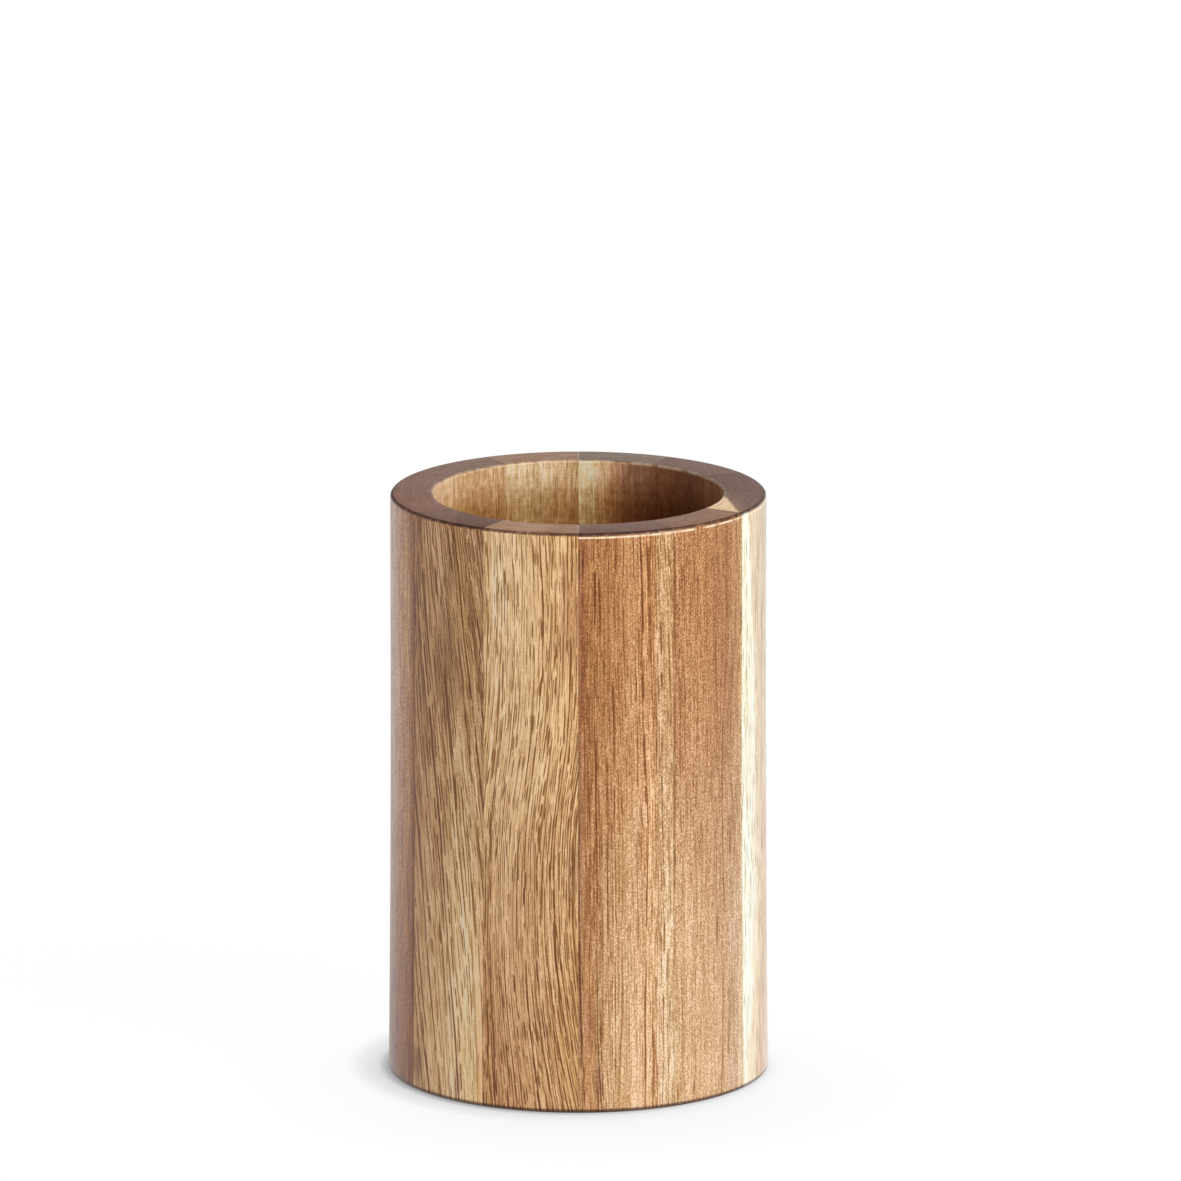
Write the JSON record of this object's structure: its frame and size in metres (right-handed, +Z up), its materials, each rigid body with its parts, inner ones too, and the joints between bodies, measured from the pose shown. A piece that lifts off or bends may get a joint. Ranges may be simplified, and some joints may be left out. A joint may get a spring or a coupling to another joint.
{
  "type": "toothbrush cup",
  "caption": "Plain round wooden cup of staves glued edge to edge, turned straight inside and out, with a flat rim, eased edges and a round base board let into its foot.",
  "frame": {"origin": "on the cup's axis, in the plane that it stands on", "axes": "+Z up along the axis; the joint between the first and the last stave faces -Y, and the staves are counted from it towards +X"},
  "size_m": [0.0712, 0.0712, 0.11],
  "materials": {
    "stave_01_wood": "oiled red-brown acacia heartwood, finely flecked",
    "stave_02_wood": "oiled russet acacia heartwood, finely flecked",
    "stave_03_wood": "oiled pale acacia with a cream sapwood edge",
    "stave_04_wood": "oiled walnut-brown acacia heartwood",
    "stave_05_wood": "oiled golden acacia heartwood",
    "stave_06_wood": "oiled straw-coloured acacia heartwood",
    "stave_07_wood": "oiled amber acacia heartwood",
    "stave_08_wood": "oiled chestnut-brown acacia heartwood",
    "stave_09_wood": "oiled honey-coloured acacia heartwood",
    "stave_10_wood": "oiled plum-brown acacia heartwood",
    "stave_11_wood": "oiled acacia heartwood with slanting grain",
    "stave_12_wood": "oiled pale golden acacia heartwood with open pores",
    "base_wood": "oiled acacia heartwood board"
  },
  "bodies": {
    "root": {"stave_01": "stave_01_wood", "stave_02": "stave_02_wood", "stave_03": "stave_03_wood", "stave_04": "stave_04_wood", "stave_05": "stave_05_wood", "stave_06": "stave_06_wood", "stave_07": "stave_07_wood", "stave_08": "stave_08_wood", "stave_09": "stave_09_wood", "stave_10": "stave_10_wood", "stave_11": "stave_11_wood", "stave_12": "stave_12_wood", "base_disc": "base_wood"}
  },
  "joints": []
}
